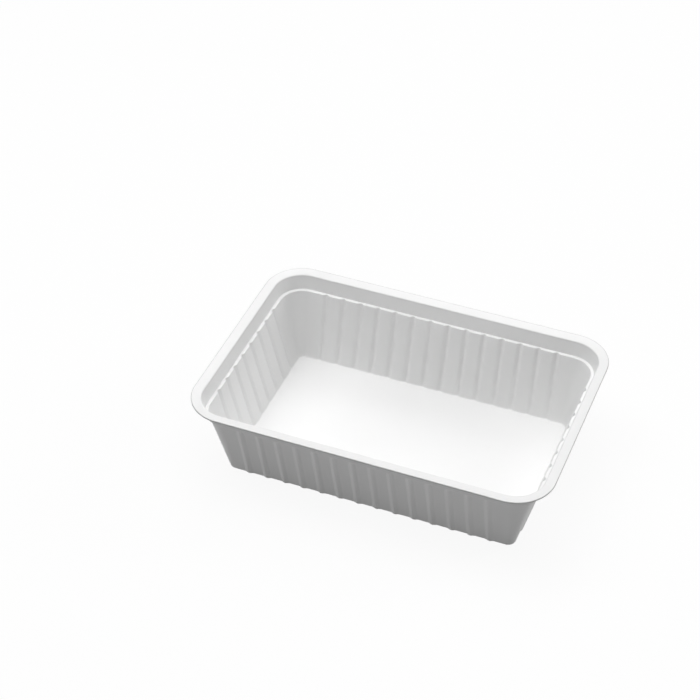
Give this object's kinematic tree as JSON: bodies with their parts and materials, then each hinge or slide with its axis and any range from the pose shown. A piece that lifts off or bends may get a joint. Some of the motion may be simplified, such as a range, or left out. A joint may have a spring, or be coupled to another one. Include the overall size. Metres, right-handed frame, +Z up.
{
  "type": "plastic food tray",
  "caption": "Open rectangular thermoformed tray with a narrow slightly raised flange, a stepped lid recess, fluted tapering walls and a flat floor.",
  "frame": {"origin": "middle of the tray's flat underside", "axes": "+X along the tray's length, +Y across its width, +Z up out of the open mouth"},
  "size_m": [0.19, 0.131, 0.048],
  "materials": {
    "white_plastic": "satin white polypropylene sheet"
  },
  "bodies": {
    "root": {"tray": "white_plastic"}
  },
  "joints": []
}
